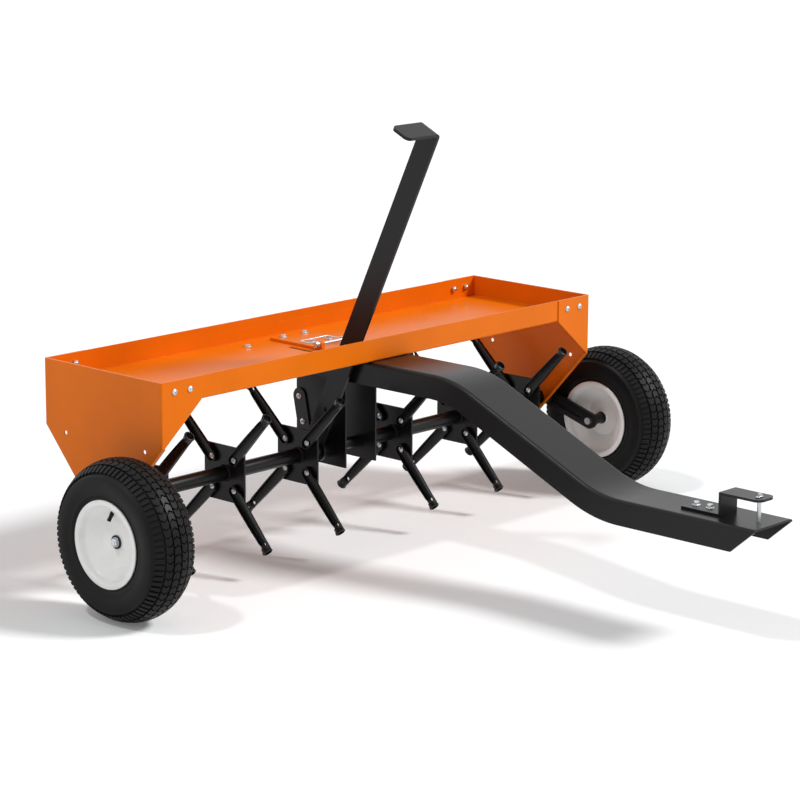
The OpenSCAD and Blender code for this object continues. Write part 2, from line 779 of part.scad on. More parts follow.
module axle_spacer() {
    at_wheel() tube_x(spacer_d / 2, axle_d / 2, arm_out - wheel_x,
        arm_out + spacer_l - wheel_x);
}
module axle_spacer_right() { color(black) at_axle() axle_spacer(); }
module axle_spacer_left() { color(black) at_axle() left_side() axle_spacer(); }

// Axle nut with its washer
module axle_nut() {
    face = hub_out + hub_flange + wheel_gap;
    at_wheel() difference() {
        union() {
            bar_x(axle_d, face, face + washer_t);
            translate([face + washer_t, 0, 0]) rotate([0, 90, 0])
                cylinder(r = axle_d * 0.92, h = nut_t, $fn = 6);
        }
        bar_x(axle_d / 2, face - cut, face + washer_t + nut_t + cut);
    }
}
module axle_nut_right() { color(zinc) at_axle() axle_nut(); }
module axle_nut_left() { color(zinc) at_axle() left_side() axle_nut(); }

// wheels

// Body of the tyre, inset by a wall: wide, with a rounded crown
module tyre_body_2d(inset) {
    lobe_in = bead_r + 8;
    intersection() {
        translate([(lobe_in + wheel_r) / 2, 0])
            round_rect_2d(wheel_r - lobe_in - 2 * inset, tyre_w - 2 * inset, tyre_shoulder - inset);
        translate([wheel_r - tyre_crown, 0]) circle(tyre_crown - inset, $fn = 96);
    }
}

// Tyre section: radius and distance from the wheel's middle
module tyre_2d() {
    wall = 9;
    bead_half = rim_half - 4.5;
    difference() {
        union() {
            translate([bead_r, -bead_half]) square([30, 2 * bead_half]);
            tyre_body_2d(0);
        }
        translate([bead_r - cut, wall - bead_half]) square([30, 2 * (bead_half - wall)]);
        tyre_body_2d(wall);
        for (h = [-20, 0, 20]) translate([wheel_r - 4 - abs(h) / 8, h - 2.5]) square([12, 5]);
    }
}
module tyre() {
    at_wheel() rotate([0, 90, 0]) rotate_extrude($fn = 96) tyre_2d();
}
module tyre_right() { color(rubber) at_axle() tyre(); }
module tyre_left() { color(rubber) at_axle() left_side() tyre(); }

// Outer half of the rim: barrel, lip, conical bowl and disc
module rim_half_2d() {
    inner_r = hub_d / 2 - 2;
    polygon([
        [bead_r, 1], [bead_r, rim_half - 4], [rim_d / 2, rim_half - 4],
        [rim_d / 2, rim_half - 1], [rim_d / 2 - 1.5, rim_half], [bead_r - 4, rim_half],
        [bead_r - 7, rim_half - 3], [bead_r - 10, rim_half - 11],
        [bead_r - 13, rim_half - 14], [disc_r + 2, disc_h + 1.5], [disc_r - 1, disc_h],
        [inner_r, disc_h], [inner_r, disc_h - rim_t], [disc_r, disc_h - rim_t],
        [disc_r + 3.5, disc_h - 1], [bead_r - 11.5, rim_half - 16.5],
        [bead_r - 7.5, rim_half - 12.5], [bead_r - 4.5, rim_half - 4],
        [bead_r - rim_t, rim_half - 4], [bead_r - rim_t, 1]
    ]);
}
module at_valve() {
    rotate([valve_turn, 0, 0]) translate([valve_out, 0, valve_r]) rotate([0, valve_tilt, 0])
        children();
}
module rim() {
    at_wheel() difference() {
        union() {
            both_sides() rotate([0, 90, 0]) rotate_extrude($fn = 96) rim_half_2d();
            tube_x(hub_d / 2, hub_d / 2 - 4, -hub_in, hub_out);
        }
        at_valve() bar_x(4.5, -9, 9);
    }
}
module rim_right() { color(white) at_axle() rim(); }
module rim_left() { color(white) at_axle() left_side() rim(); }

// Bushes pressed into both ends of the wheel's hub tube
module wheel_bushes() {
    body_r = hub_d / 2 - 4;
    at_wheel() {
        translate([-hub_in, 0, 0])
            flanged_bush(axle_d / 2 + run_gap, body_r, 18, hub_d / 2, hub_flange);
        translate([hub_out, 0, 0]) mirror([1, 0, 0])
            flanged_bush(axle_d / 2 + run_gap, body_r, 18, hub_d / 2, hub_flange);
    }
}
module wheel_bushes_right() { color(rubber) at_axle() wheel_bushes(); }
module wheel_bushes_left() { color(rubber) at_axle() left_side() wheel_bushes(); }

// Valve stem in the bowl of the rim
module valve_stem() {
    at_wheel() at_valve() {
        bar_x(4.5, -3, 11);
        bar_x(3, 11, 15);
        bar_x(3.8, 15, 21);
    }
}
module valve_stem_right() { color(rubber) at_axle() valve_stem(); }
module valve_stem_left() { color(rubber) at_axle() left_side() valve_stem(); }

// tine gangs

// Gang tube that joins three tine wheels, from its inner end outwards
module gang_tube(inner) {
    tube_x(gang_d / 2, gang_d / 2 - gang_t, inner + thrust_t, gang_out - thrust_t);
}
module gang_tube_right() { color(black) at_axle() gang_tube(gang_in_right); }
module gang_tube_left() { color(black) at_axle() left_side() gang_tube(gang_in_left); }

// Bushes in the two ends of a gang tube
module gang_bushes(inner) {
    translate([inner + thrust_t, 0, 0])
        flanged_bush(bore_r, gang_d / 2 - gang_t, 20, gang_d / 2, thrust_t);
    translate([gang_out - thrust_t, 0, 0]) mirror([1, 0, 0])
        flanged_bush(bore_r, gang_d / 2 - gang_t, 20, gang_d / 2, thrust_t);
}
module gang_bushes_right() { color(rubber) at_axle() gang_bushes(gang_in_right); }
module gang_bushes_left() { color(rubber) at_axle() left_side() gang_bushes(gang_in_left); }

// Square plate of tine wheel number i, counted from the -X side
module tine_plate(i) {
    color(black) at_axle() difference() {
        side_prism(tine_x(i), tine_x(i) + plate_t) round_rect_2d(plate_w, plate_w, 8);
        bar_x(gang_d / 2, tine_x(i) - cut, tine_x(i) + plate_t + cut);
        for (k = [0:3]) rotate([45 + 90 * k, 0, 0]) translate([0, tine_bolt_r, 0])
            bar_x(bolt_d / 2, tine_x(i) - cut, tine_x(i) + plate_t + cut);
    }
}
module tine_plate_1() { tine_plate(1); }
module tine_plate_2() { tine_plate(2); }
module tine_plate_3() { tine_plate(3); }
module tine_plate_4() { tine_plate(4); }
module tine_plate_5() { tine_plate(5); }
module tine_plate_6() { tine_plate(6); }

// Coring tine along +Z with its back at x = 0: a round cup at the bolt that runs
// out as a trough, its edges closing in to a slit tube with a core ejection hole
module tine() {
    root_r = tine_w / 2;
    mouth_r = mouth_d / 2;
    axis_x = -root_r;
    root_end = tine_bolt_r - root_r - 1;
    bore_start = tine_bolt_r + 9;
    close_start = tine_reach - mouth_l - 9;
    tube_l = tine_reach - tine_bolt_r;
    slit = 6;
    difference() {
        intersection() {
            union() {
                translate([-cup_h - cut, 0, tine_bolt_r]) rotate([0, 90, 0])
                    cylinder(r = root_r, h = cup_h + cut);
                translate([axis_x, 0, tine_bolt_r])
                    cylinder(r1 = root_r, r2 = mouth_r, h = tube_l);
                translate([-tine_t, -root_r * 0.94, tine_bolt_r])
                    cube([tine_t, root_r * 1.88, 24]);
            }
            translate([0, tine_w, 0]) rotate([90, 0, 0]) linear_extrude(2 * tine_w)
                polygon([
                    [cut, root_end], [-cup_h, root_end], [-cup_h, bore_start + 3],
                    [axis_x - mouth_r * 0.88, close_start],
                    [axis_x - mouth_r - cut, tine_reach - mouth_l],
                    [axis_x - mouth_r - cut, tine_reach + cut], [cut, tine_reach + cut]
                ]);
        }
        translate([-cup_h - 2 * cut, 0, tine_bolt_r]) rotate([0, 90, 0])
            cylinder(r = root_r - roll_t, h = cup_h + 2 * cut - tine_t);
        translate([axis_x, 0, bore_start])
            cylinder(r1 = root_r - roll_t, r2 = mouth_r - roll_t, h = tine_reach - bore_start + cut);
        translate([axis_x - mouth_r - cut, -slit / 2, close_start - cut])
            cube([mouth_r, slit, mouth_l + 12]);
        translate([-tine_t - cut, 0, tine_bolt_r]) rotate([0, 90, 0])
            cylinder(d = bolt_d, h = tine_t + 2 * cut);
        translate([axis_x + mouth_r - 6, 0, tine_reach - mouth_l - 6]) rotate([0, 90, 0])
            cylinder(d = 7, h = 8);
    }
}

// The four tines of tine wheel number i
module tines(i) {
    color(black) at_axle() translate([tine_x(i), 0, 0])
        for (k = [0:3]) rotate([45 + 90 * k, 0, 0]) tine($fn = 32);
}
module tines_1() { tines(1); }
module tines_2() { tines(2); }
module tines_3() { tines(3); }
module tines_4() { tines(4); }
module tines_5() { tines(5); }
module tines_6() { tines(6); }

// Bolts that hold the tines of three wheels
module tine_bolts(wheels) {
    color(zinc) at_axle() for (i = wheels, k = [0:3])
        rotate([45 + 90 * k, 0, 0]) translate([tine_x(i) - tine_t, 0, tine_bolt_r])
            rotate([0, -90, 0]) bolt(tine_t + plate_t);
}
module tine_bolts_left() { tine_bolts([1, 2, 3]); }
module tine_bolts_right() { tine_bolts([4, 5, 6]); }

weight_tray();
end_plate_left();
end_plate_right();
end_plate_bolts_left();
end_plate_bolts_right();
end_bushes();
tow_bar();
hanger();
hanger_bushes();
stop_strap();
stop_strap_bolts();
lock_plate();
tray_bolts();
lock_pin();
lock_wire();
hitch_bracket();
hitch_bolts();
hitch_pin();
hitch_pin_clip();
lift_shaft();
lift_handle();
handle_hub();
handle_pin();
wheel_arm_left();
wheel_arm_right();
arm_pins();
axle_bolt_left();
axle_bolt_right();
axle_spacer_left();
axle_spacer_right();
axle_nut_left();
axle_nut_right();
tyre_left();
tyre_right();
rim_left();
rim_right();
wheel_bushes_left();
wheel_bushes_right();
valve_stem_left();
valve_stem_right();
gang_tube_left();
gang_tube_right();
gang_bushes_left();
gang_bushes_right();
tine_plate_1();
tine_plate_2();
tine_plate_3();
tine_plate_4();
tine_plate_5();
tine_plate_6();
tines_1();
tines_2();
tines_3();
tines_4();
tines_5();
tines_6();
tine_bolts_left();
tine_bolts_right();
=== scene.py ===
# Tow-behind core aerator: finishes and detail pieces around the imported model.
import json
import math
import random

import bmesh
import bpy
from mathutils import Matrix, Vector


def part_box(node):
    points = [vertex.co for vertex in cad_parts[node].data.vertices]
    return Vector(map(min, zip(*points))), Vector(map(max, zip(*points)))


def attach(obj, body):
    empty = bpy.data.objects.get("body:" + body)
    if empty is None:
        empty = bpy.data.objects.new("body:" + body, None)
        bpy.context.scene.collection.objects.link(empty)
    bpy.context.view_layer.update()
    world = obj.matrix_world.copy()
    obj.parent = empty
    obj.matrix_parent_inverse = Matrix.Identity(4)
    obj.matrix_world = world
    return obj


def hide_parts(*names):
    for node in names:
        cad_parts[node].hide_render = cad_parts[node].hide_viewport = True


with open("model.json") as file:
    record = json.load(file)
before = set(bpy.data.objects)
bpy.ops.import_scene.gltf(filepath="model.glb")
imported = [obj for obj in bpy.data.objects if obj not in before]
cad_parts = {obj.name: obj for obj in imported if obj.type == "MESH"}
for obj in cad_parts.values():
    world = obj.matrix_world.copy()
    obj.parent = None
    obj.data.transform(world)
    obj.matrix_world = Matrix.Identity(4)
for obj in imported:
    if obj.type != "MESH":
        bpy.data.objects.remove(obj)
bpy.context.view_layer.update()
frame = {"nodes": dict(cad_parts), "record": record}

nodes = frame["nodes"]
mm = 0.001
random.seed(7)
print("stage: model loaded,", len(nodes), "nodes")


def linearColor(hexText):
    channels = [int(hexText[i:i + 2], 16) / 255 for i in (1, 3, 5)]
    return tuple(c / 12.92 if c <= 0.04045 else ((c + 0.055) / 1.055) ** 2.4
                 for c in channels) + (1.0,)


def addNode(owner, kind, inputs=None, **settings):
    # one node of a material or world with its settings; an input that is a socket is linked
    node = owner.node_tree.nodes.new(kind)
    for name, value in settings.items():
        setattr(node, name, value)
    for socket, value in (inputs or {}).items():
        if isinstance(value, bpy.types.NodeSocket):
            owner.node_tree.links.new(value, node.inputs[socket])
        else:
            node.inputs[socket].default_value = value
    return node


def startMaterial(name):
    material = bpy.data.materials.new(name)
    material.use_nodes = True
    material.node_tree.nodes.clear()
    return material


def finishMaterial(material, shader):
    output = addNode(material, "ShaderNodeOutputMaterial")
    material.node_tree.links.new(shader.outputs[0], output.inputs["Surface"])
    return material


def finishPiece(name, bm, material, body, replaced=(), smoothAngle=35):
    # turns the bmesh into an object at the origin that rides on its body
    mesh = bpy.data.meshes.new(name)
    bm.to_mesh(mesh)
    bm.free()
    mesh.polygons.foreach_set("use_smooth", [True] * len(mesh.polygons))
    mesh.set_sharp_from_angle(angle=math.radians(smoothAngle))
    piece = bpy.data.objects.new(name, mesh)
    bpy.context.scene.collection.objects.link(piece)
    mesh.materials.append(material)
    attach(piece, body)
    if replaced:
        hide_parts(*replaced)
    return piece


def spinProfile(bm, profile, center, steps, closed=True):
    # profile of (radius, distance along X) turned about the line along X through center
    verts = [bm.verts.new(center + Vector((x, 0, r))) for r, x in profile]
    pairs = list(zip(verts, verts[1:] + verts[:1] if closed else verts[1:]))
    edges = [bm.edges.new(pair) for pair in pairs]
    return bmesh.ops.spin(bm, geom=verts + edges, cent=center, axis=(1, 0, 0),
                          angle=2 * math.pi, steps=steps, use_merge=True)


def cleanSolid(bm, distance=1e-5):
    bmesh.ops.remove_doubles(bm, verts=bm.verts, dist=distance)
    bmesh.ops.recalc_face_normals(bm, faces=bm.faces)


def joinInto(bm, part):
    # adds the part's mesh to bm and frees the part
    mesh = bpy.data.meshes.new("part")
    part.to_mesh(mesh)
    part.free()
    bm.from_mesh(mesh)
    bpy.data.meshes.remove(mesh)


def addPrism(bm, sides, radius, height, matrix, axis, bevel):
    # a closed prism that stands along the axis, with the edges of both ends bevelled
    made = bmesh.ops.create_cone(bm, segments=sides, cap_ends=True, radius1=radius * mm,
                                 radius2=radius * mm, depth=height * mm, matrix=matrix)
    rims = [e for e in bm.edges if e.verts[0] in made["verts"] and e.verts[1] in made["verts"]
            and abs(e.verts[0].co[axis] - e.verts[1].co[axis]) < 1e-6]
    bmesh.ops.bevel(bm, geom=rims, offset=bevel * mm, affect="EDGES", segments=2, profile=0.5,
                    material=-1)


def islandBoxes(nodeName):
    # the box of each separate solid of a node, from a merged copy of its mesh
    bm = bmesh.new()
    bm.from_mesh(nodes[nodeName].data)
    bmesh.ops.remove_doubles(bm, verts=bm.verts, dist=1e-6)
    left = set(bm.verts)
    boxes = []
    while left:
        stack = [left.pop()]
        found = []
        while stack:
            vert = stack.pop()
            found.append(vert.co.copy())
            for edge in vert.link_edges:
                other = edge.other_vert(vert)
                if other in left:
                    left.discard(other)
                    stack.append(other)
        low = Vector(min(c[i] for c in found) for i in range(3))
        high = Vector(max(c[i] for c in found) for i in range(3))
        boxes.append((low, high))
    bm.free()
    return sorted(boxes, key=lambda b: tuple(round(v, 5) for v in b[0]))


# the second colour of each coat is a lighter edge colour: edge wear and a painted highlight on
# edges
powderCoat = {
    "orange": {"color": "#E87206", "edgeWearAndHighlightColor": "#F59A3C", "roughness": 0.30, "specular": 0.14,
               "peel": 0.010, "peelSize": 1.6 * mm},
    "black": {"color": "#111112", "edgeWearAndHighlightColor": "#38383B", "roughness": 0.30, "specular": 0.25,
              "peel": 0.012, "peelSize": 1.1 * mm},
}


def makePowderCoat(name, look):
    # Polyester powder on steel: an even semi-gloss film with a faint orange peel. Edges are
    # lighter in colour: edge wear where the film thins, and a painted highlight along the edges.
    material = startMaterial(name)
    place = addNode(material, "ShaderNodeTexCoord")
    cloud = addNode(material, "ShaderNodeTexNoise", {
        "Vector": place.outputs["Object"], "Scale": 6.0, "Detail": 3.0, "Roughness": 0.55})
    shade = addNode(material, "ShaderNodeMapRange", {
        "Value": cloud.outputs["Fac"], "From Min": 0.3, "From Max": 0.7,
        "To Min": 0.94, "To Max": 1.05})
    rounded = addNode(material, "ShaderNodeBevel", {"Radius": 0.9 * mm}, samples=4)
    surface = addNode(material, "ShaderNodeNewGeometry")
    edge = addNode(material, "ShaderNodeVectorMath", {
        0: rounded.outputs["Normal"], 1: surface.outputs["Normal"]}, operation="DOT_PRODUCT")
    # painted highlight and edge wear: near sharp edges the colour mixes towards the lighter edge
    # colour
    edgeWearAndHighlightMask = addNode(material, "ShaderNodeMapRange", {
        "Value": edge.outputs["Value"], "From Min": 0.995, "From Max": 0.86,
        "To Min": 0.0, "To Max": 0.45})
    tone = addNode(material, "ShaderNodeMix", {
        "Factor": edgeWearAndHighlightMask.outputs["Result"], 6: linearColor(look["color"]),
        7: linearColor(look["edgeWearAndHighlightColor"])}, data_type="RGBA")
    color = addNode(material, "ShaderNodeVectorMath", {
        0: tone.outputs[2], "Scale": shade.outputs["Result"]}, operation="SCALE")
    sheen = addNode(material, "ShaderNodeMapRange", {
        "Value": cloud.outputs["Fac"], "From Min": 0.25, "From Max": 0.75,
        "To Min": look["roughness"] - 0.04, "To Max": look["roughness"] + 0.05})
    peel = addNode(material, "ShaderNodeTexNoise", {
        "Vector": place.outputs["Object"], "Scale": 1 / look["peelSize"], "Detail": 2.0,
        "Roughness": 0.5})
    bump = addNode(material, "ShaderNodeBump", {
        "Strength": 0.35, "Distance": look["peel"] * mm, "Height": peel.outputs["Fac"],
        "Normal": rounded.outputs["Normal"]})
    shader = addNode(material, "ShaderNodeBsdfPrincipled", {
        "Base Color": color.outputs["Vector"], "Roughness": sheen.outputs["Result"],
        "Normal": bump.outputs["Normal"], "IOR": 1.5, "Specular IOR Level": look["specular"]})
    return finishMaterial(material, shader)


zincLook = {"color": "#D3D5D6", "cool": "#BFC6CC", "grain": 2.2 * mm, "roughness": 0.34}


def makeZincPlate():
    # Bright zinc on turned and rolled steel: pale, slightly blue, with cloudy passivation.
    material = startMaterial("zincPlatedSteel")
    place = addNode(material, "ShaderNodeTexCoord")
    cloud = addNode(material, "ShaderNodeTexNoise", {
        "Vector": place.outputs["Object"], "Scale": 1 / zincLook["grain"], "Detail": 2.0})
    color = addNode(material, "ShaderNodeMix", {
        "Factor": cloud.outputs["Fac"], 6: linearColor(zincLook["color"]),
        7: linearColor(zincLook["cool"])}, data_type="RGBA")
    rough = addNode(material, "ShaderNodeMapRange", {
        "Value": cloud.outputs["Fac"], "From Min": 0.3, "From Max": 0.7,
        "To Min": zincLook["roughness"] - 0.06, "To Max": zincLook["roughness"] + 0.08})
    rounded = addNode(material, "ShaderNodeBevel", {"Radius": 0.25 * mm}, samples=4)
    shader = addNode(material, "ShaderNodeBsdfPrincipled", {
        "Base Color": color.outputs[2], "Metallic": 1.0, "Roughness": rough.outputs["Result"],
        "Normal": rounded.outputs["Normal"]})
    return finishMaterial(material, shader)


enamelLook = {"color": "#F1F1EF", "dust": "#DEDDD8", "roughness": 0.28}


def makeWhiteEnamel():
    # Baked white enamel on a pressed steel wheel: glossy, with a trace of dust.
    material = startMaterial("whiteEnamel")
    place = addNode(material, "ShaderNodeTexCoord")
    dust = addNode(material, "ShaderNodeTexNoise", {
        "Vector": place.outputs["Object"], "Scale": 22.0, "Detail": 4.0})
    amount = addNode(material, "ShaderNodeMapRange", {
        "Value": dust.outputs["Fac"], "From Min": 0.45, "From Max": 0.75,
        "To Min": 0.0, "To Max": 0.5})
    color = addNode(material, "ShaderNodeMix", {
        "Factor": amount.outputs["Result"], 6: linearColor(enamelLook["color"]),
        7: linearColor(enamelLook["dust"])}, data_type="RGBA")
    rough = addNode(material, "ShaderNodeMapRange", {
        "Value": dust.outputs["Fac"], "From Min": 0.3, "From Max": 0.7,
        "To Min": enamelLook["roughness"], "To Max": enamelLook["roughness"] + 0.1})
    shader = addNode(material, "ShaderNodeBsdfPrincipled", {
        "Base Color": color.outputs[2], "Roughness": rough.outputs["Result"],
        "Coat Weight": 0.3, "Coat Roughness": 0.08})
    return finishMaterial(material, shader)


rubberLook = {"color": "#080808", "dust": "#151413", "specular": 0.17,
              "tyre": (0.9 * mm, 0.46), "valve": (0.5 * mm, 0.45)}  # grain and roughness


def makeRubber(name, grain, roughness):
    # Carbon-filled rubber from a mould: near black, a soft sheen and a fine even grain.
    material = startMaterial(name)
    place = addNode(material, "ShaderNodeTexCoord")
    cloud = addNode(material, "ShaderNodeTexNoise", {
        "Vector": place.outputs["Object"], "Scale": 18.0, "Detail": 4.0})
    amount = addNode(material, "ShaderNodeMapRange", {
        "Value": cloud.outputs["Fac"], "From Min": 0.42, "From Max": 0.8,
        "To Min": 0.0, "To Max": 0.45})
    color = addNode(material, "ShaderNodeMix", {
        "Factor": amount.outputs["Result"], 6: linearColor(rubberLook["color"]),
        7: linearColor(rubberLook["dust"])}, data_type="RGBA")
    rough = addNode(material, "ShaderNodeMapRange", {
        "Value": cloud.outputs["Fac"], "From Min": 0.3, "From Max": 0.7,
        "To Min": roughness - 0.08, "To Max": roughness + 0.08})
    skin = addNode(material, "ShaderNodeTexNoise", {
        "Vector": place.outputs["Object"], "Scale": 1 / grain, "Detail": 1.0})
    bump = addNode(material, "ShaderNodeBump", {
        "Strength": 0.3, "Distance": 0.05 * mm, "Height": skin.outputs["Fac"]})
    shader = addNode(material, "ShaderNodeBsdfPrincipled", {
        "Base Color": color.outputs[2], "Roughness": rough.outputs["Result"],
        "Specular IOR Level": rubberLook["specular"], "Normal": bump.outputs["Normal"]})
    return finishMaterial(material, shader)


nylonLook = {"color": "#0B0B0B", "roughness": 0.5, "specular": 0.3}


def makeNylon():
    # Moulded black nylon: even, a little waxy.
    material = startMaterial("blackNylon")
    place = addNode(material, "ShaderNodeTexCoord")
    cloud = addNode(material, "ShaderNodeTexNoise", {
        "Vector": place.outputs["Object"], "Scale": 90.0, "Detail": 2.0})
    rough = addNode(material, "ShaderNodeMapRange", {
        "Value": cloud.outputs["Fac"], "From Min": 0.3, "From Max": 0.7,
        "To Min": nylonLook["roughness"] - 0.06, "To Max": nylonLook["roughness"] + 0.06})
    bump = addNode(material, "ShaderNodeBump", {
        "Strength": 0.2, "Distance": 0.03 * mm, "Height": cloud.outputs["Fac"]})
    shader = addNode(material, "ShaderNodeBsdfPrincipled", {
        "Base Color": linearColor(nylonLook["color"]), "Roughness": rough.outputs["Result"],
        "Specular IOR Level": nylonLook["specular"], "Normal": bump.outputs["Normal"]})
    return finishMaterial(material, shader)


orangePaint = makePowderCoat("orangePowderCoat", powderCoat["orange"])
blackPaint = makePowderCoat("blackPowderCoat", powderCoat["black"])
zincPlate = makeZincPlate()
whiteEnamel = makeWhiteEnamel()
tyreRubber = makeRubber("tyreRubber", *rubberLook["tyre"])
valveRubber = makeRubber("valveRubber", *rubberLook["valve"])
blackNylon = makeNylon()
slotMaterials = {
    "orange_paint": orangePaint, "black_paint": blackPaint, "zinc_hardware": zincPlate,
    "white_paint": whiteEnamel, "tyre_rubber": tyreRubber, "valve_rubber": valveRubber,
    "black_nylon": blackNylon,
}
for part in frame["record"]["subparts"]:
    mesh = nodes[part["node"]].data
    mesh.materials.clear()
    mesh.materials.append(slotMaterials[part["material_slot"]])
print("stage: materials on the CAD nodes")


boltShape = {  # mm; a button head, a hexagon socket, a thread and a nut
    "headHeight": 4.0, "headRadius": 6.8, "headEdge": 0.8, "domeRise": 3.0, "domeFlat": 0.02,
    "socketRadius": 2.6, "socketRim": 0.3, "socketLead": 0.2, "socketDepth": 1.8,
    "shankRadius": 4.0, "pitch": 1.25, "root": 0.55, "crest": 0.05, "tipRoot": 0.9,
    "tipCrest": 0.1, "tipLength": 0.6, "threadPastNut": 1.0, "nutRadius": 7.4,
    "nutHeight": 6.4, "nutBevel": 0.7, "tail": 2.0, "steps": 24}


def addBolt(bm, low, high, axis, headSign):
    # button head with a hexagon socket, shank with thread ridges, and a chamfered nut
    look = boltShape
    size = (high[axis] - low[axis]) / mm
    part = bmesh.new()
    headBase = size - look["headHeight"]
    r = look["headRadius"]
    edge = headBase + look["headEdge"]
    head = [(look["shankRadius"], headBase), (r, headBase), (r, edge)]
    for angle in (math.radians(12 * k) for k in range(1, 6)):
        head.append((r * (math.cos(angle) * (1 - look["domeFlat"]) + look["domeFlat"]),
                     edge + look["domeRise"] * math.sin(angle)))
    head.append((look["socketRadius"] + look["socketRim"], size))
    spinProfile(part, [(r2 * mm, x * mm) for r2, x in head], Vector((0, 0, 0)), look["steps"],
                closed=False)
    bmesh.ops.remove_doubles(part, verts=part.verts, dist=1e-6)
    # socket: the dome's round rim runs into a hexagon, which goes down to a flat bottom
    rim = [e for e in part.edges if e.is_boundary
           and all(abs(v.co.x - size * mm) < 1e-7 for v in e.verts)]
    for sink in (look["socketLead"], look["socketDepth"]):
        grown = bmesh.ops.extrude_edge_only(part, edges=rim)["geom"]
        inner = [v for v in grown if isinstance(v, bmesh.types.BMVert)]
        rim = [e for e in grown if isinstance(e, bmesh.types.BMEdge)
               and all(v in inner for v in e.verts)]
        for vert in inner:
            angle = math.atan2(vert.co.y, vert.co.z)
            across = math.cos(math.pi / 6) / math.cos(angle % (math.pi / 3) - math.pi / 6)
            reach = look["socketRadius"] * across * mm
            vert.co = (vert.co.x - sink * mm, reach * math.sin(angle), reach * math.cos(angle))
    bmesh.ops.contextual_create(part, geom=rim)
    # shank with thread ridges, from its tapered tip to just past the nut
    shank = look["shankRadius"]
    thread = [(shank - look["tipRoot"], 0.0), (shank - look["tipCrest"], look["tipLength"])]
    x = look["tipLength"]
    while x < look["tail"] + look["nutHeight"] + look["threadPastNut"]:
        thread.append((shank - look["root"], x + look["pitch"] / 2))
        x += look["pitch"]
        thread.append((shank - look["crest"], x))
    thread.append((shank, headBase))
    spinProfile(part, [(r2 * mm, x2 * mm) for r2, x2 in thread], Vector((0, 0, 0)),
                look["steps"], closed=False)
    tip = [e for e in part.edges if e.is_boundary and all(v.co.x < 1e-7 for v in e.verts)]
    bmesh.ops.contextual_create(part, geom=tip)
    nutMiddle = look["tail"] + look["nutHeight"] / 2
    addPrism(part, 6, look["nutRadius"], look["nutHeight"],
             Matrix.Translation((nutMiddle * mm, 0, 0)) @ Matrix.Rotation(math.pi / 2, 4, "Y"),
             0, look["nutBevel"])
    cleanSolid(part, 1e-6)
    # local X runs from the tail to the head
    direction = Vector((0, 0, 0))
    direction[axis] = headSign
    origin = (low + high) / 2
    origin[axis] = low[axis] if headSign > 0 else high[axis]
    turn = direction.to_track_quat("X", "Z").to_matrix().to_4x4()
    twist = Matrix.Rotation(random.random() * math.pi / 3, 4, "X")
    bmesh.ops.transform(part, verts=part.verts, matrix=Matrix.Translation(origin) @ turn @ twist)
    joinInto(bm, part)


hexBolt = {"across": 11.0, "washerRadius": 8.6, "washer": 1.4, "button": 4.0,
           "shankRadius": 4.0, "nutRadius": 7.4, "nutHeight": 6.4, "tail": 2.0, "turn": 0.35,
           "bevel": 0.45,
           "heads": {"hitch_bolts": 6.4, "tray_bolts": 4.4}}  # the lock wire lies over tray bolts


def addHexBolt(bm, low, high, headHeight):
    # an upright bolt with a hexagon head on a washer, in place of the button head
    look = hexBolt
    middle = (low + high) / 2
    seat = Vector((middle.x, middle.y, high.z - look["button"] * mm))
    length = (seat.z - low.z) / mm
    parts = (  # sides, radius, height and where each starts above the seat
        (32, look["washerRadius"], look["washer"], 0.0),
        (6, look["across"] / math.sqrt(3), headHeight, look["washer"]),
        (24, look["shankRadius"], length, -length),
        (6, look["nutRadius"], look["nutHeight"], look["tail"] - length))
    for sides, radius, height, base in parts:
        middle = seat + Vector((0, 0, (base + height / 2) * mm))
        addPrism(bm, sides, radius, height, Matrix.Translation(middle)
                 @ Matrix.Rotation(look["turn"], 4, "Z"), 2, look["bevel"])


boltGroups = {  # node: (piece, axis, which end carries the head, body)
    "end_plate_bolts_left": ("endBoltsLeft", 1, 0, "frame"),
    "end_plate_bolts_right": ("endBoltsRight", 1, 0, "frame"),
    "stop_strap_bolts": ("strapBolts", 0, -1, "frame"),
    "tray_bolts": ("trayBolts", 2, 1, "frame"),
    "hitch_bolts": ("hitchBolts", 2, 1, "frame"),
    "tine_bolts_left": ("tineBoltsLeft", 0, -1, "gang_left"),
    "tine_bolts_right": ("tineBoltsRight", 0, -1, "gang_right"),
}
loneBolt = {"aside": 108.0, "plate": 6.0, "length": 18.0}  # mm
trayMiddle = sum((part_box("weight_tray")[i][1] for i in (0, 1))) / 2
for nodeName, (pieceName, axis, sign, body) in boltGroups.items():
    bm = bmesh.new()
    hexHead = hexBolt["heads"].get(nodeName)
    for low, high in islandBoxes(nodeName):
        side = sign or (1 if (low[1] + high[1]) / 2 > trayMiddle else -1)
        if hexHead:
            addHexBolt(bm, low, high, hexHead)
        else:
            addBolt(bm, low, high, axis, side)
    if nodeName == "tray_bolts":
        # a lone bolt through the tray's floor, beside the lock plate
        low, high = islandBoxes(nodeName)[0]
        shift = Vector((-loneBolt["aside"], 0, -loneBolt["plate"])) * mm
        low, high = low + shift, high + shift
        low.z = high.z - loneBolt["length"] * mm
        addHexBolt(bm, low, high, hexHead)
    finishPiece(pieceName, bm, zincPlate, body, (nodeName,))
print("stage: bolts")

